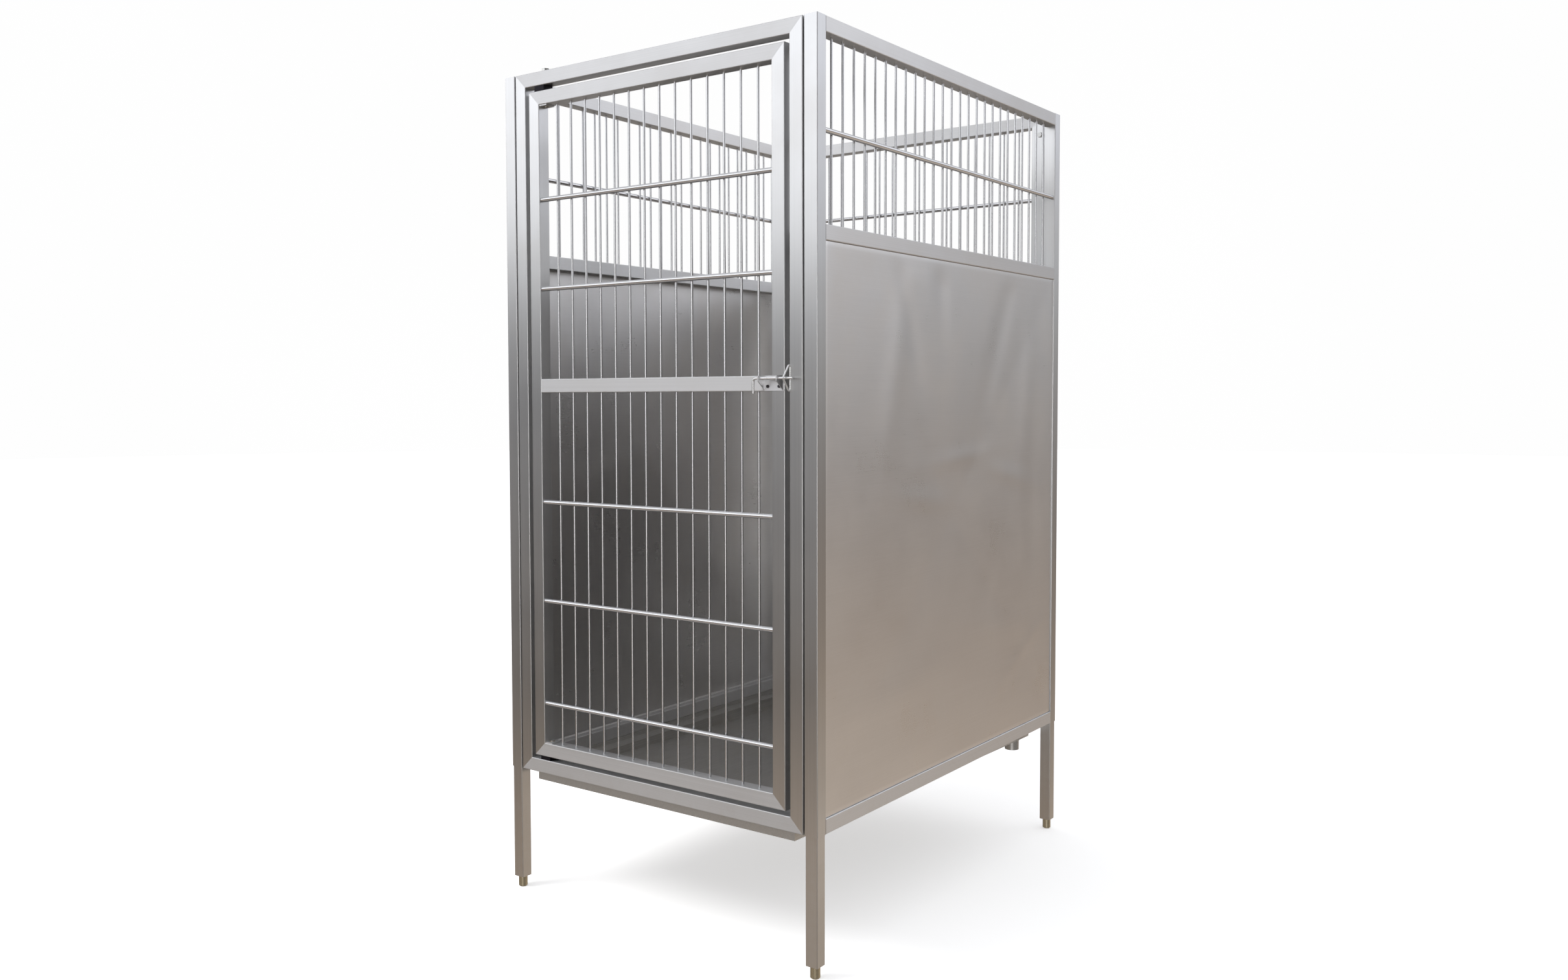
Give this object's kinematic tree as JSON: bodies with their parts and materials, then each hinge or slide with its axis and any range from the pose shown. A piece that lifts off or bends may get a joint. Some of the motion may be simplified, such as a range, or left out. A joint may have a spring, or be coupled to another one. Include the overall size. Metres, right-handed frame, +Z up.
{
  "type": "kennel cage",
  "caption": "Stainless steel kennel cage on legs, with a barred pivot door and rod latch, sheet lower walls, barred upper walls, an open top and a sloping floor tray with a drain.",
  "frame": {"origin": "on the floor, at the centre of the outline in plan", "axes": "+Z up, -Y out of the door side, +X towards the latch side, seen from the front on the right"},
  "size_m": [0.97, 1.343, 2.1384],
  "materials": {
    "tube": "satin brushed stainless tube with bright edges",
    "bar": "smooth drawn stainless bar",
    "sheet": "brushed stainless sheet, slightly buckled",
    "tray": "brushed stainless pan",
    "latch": "smooth bright stainless",
    "fastener": "turned stainless",
    "foot": "turned, slightly warm in colour",
    "bush": "plain bearing bronze"
  },
  "bodies": {
    "frame": {"back_bars": "bar", "back_bottom_rail": "tube", "back_cross_bar": "bar", "back_left_leg": "tube", "back_left_post": "tube", "back_left_stile": "tube", "back_mid_rail": "tube", "back_right_leg": "tube", "back_right_post": "tube", "back_right_stile": "tube", "back_sheet": "sheet", "back_top_rail": "tube", "drain_spout": "tube", "floor_tray": "tray", "frame_bolts": "fastener", "frame_tabs": "tube", "front_left_leg": "tube", "front_left_post": "tube", "front_right_leg": "tube", "front_right_post": "tube", "hinge_blocks": "tube", "keeper_loop": "bar", "left_bars": "bar", "left_bottom_rail": "tube", "left_cross_bar": "bar", "left_mid_rail": "tube", "left_sheet": "sheet", "left_top_rail": "tube", "leg_plugs": "tube", "lower_pivot_pin": "fastener", "post_caps": "tube", "right_bars": "bar", "right_bottom_rail": "tube", "right_cross_bar": "bar", "right_mid_rail": "tube", "right_sheet": "sheet", "right_top_rail": "tube", "surround_bottom_rail": "tube", "surround_left_stile": "tube", "surround_right_stile": "tube", "surround_top_rail": "tube", "tray_screws": "fastener", "upper_pivot_bolt": "fastener"},
    "door": {"door_bars": "bar", "door_bottom_rail": "tube", "door_cross_bars": "bar", "door_hinge_stile": "tube", "door_lock_rail": "tube", "door_lock_stile": "tube", "door_top_rail": "tube", "latch_plate": "latch", "latch_screws": "fastener", "pivot_bushes": "bush", "pivot_plates": "tube"},
    "latch_rod": {"latch_rod": "latch"},
    "back_left_foot": {"back_left_foot": "foot"},
    "back_right_foot": {"back_right_foot": "foot"},
    "front_left_foot": {"front_left_foot": "foot"},
    "front_right_foot": {"front_right_foot": "foot"}
  },
  "joints": [
    {"name": "door_hinge", "type": "hinge", "parent": "frame", "child": "door", "pos_m": [-0.354, -0.62303, 1.2275], "axis": [0, 0, -1], "range_deg": [0, 135]},
    {"name": "latch_slide", "type": "slide", "parent": "door", "child": "latch_rod", "axis": [-1, 0, 0], "range_m": [-0.008, 0.032]},
    {"name": "back_left_foot_height", "type": "slide", "parent": "frame", "child": "back_left_foot", "axis": [0, 0, -1], "range_m": [0, 0.02]},
    {"name": "back_right_foot_height", "type": "slide", "parent": "frame", "child": "back_right_foot", "axis": [0, 0, -1], "range_m": [0, 0.02]},
    {"name": "front_left_foot_height", "type": "slide", "parent": "frame", "child": "front_left_foot", "axis": [0, 0, -1], "range_m": [0, 0.02]},
    {"name": "front_right_foot_height", "type": "slide", "parent": "frame", "child": "front_right_foot", "axis": [0, 0, -1], "range_m": [0, 0.02]}
  ]
}
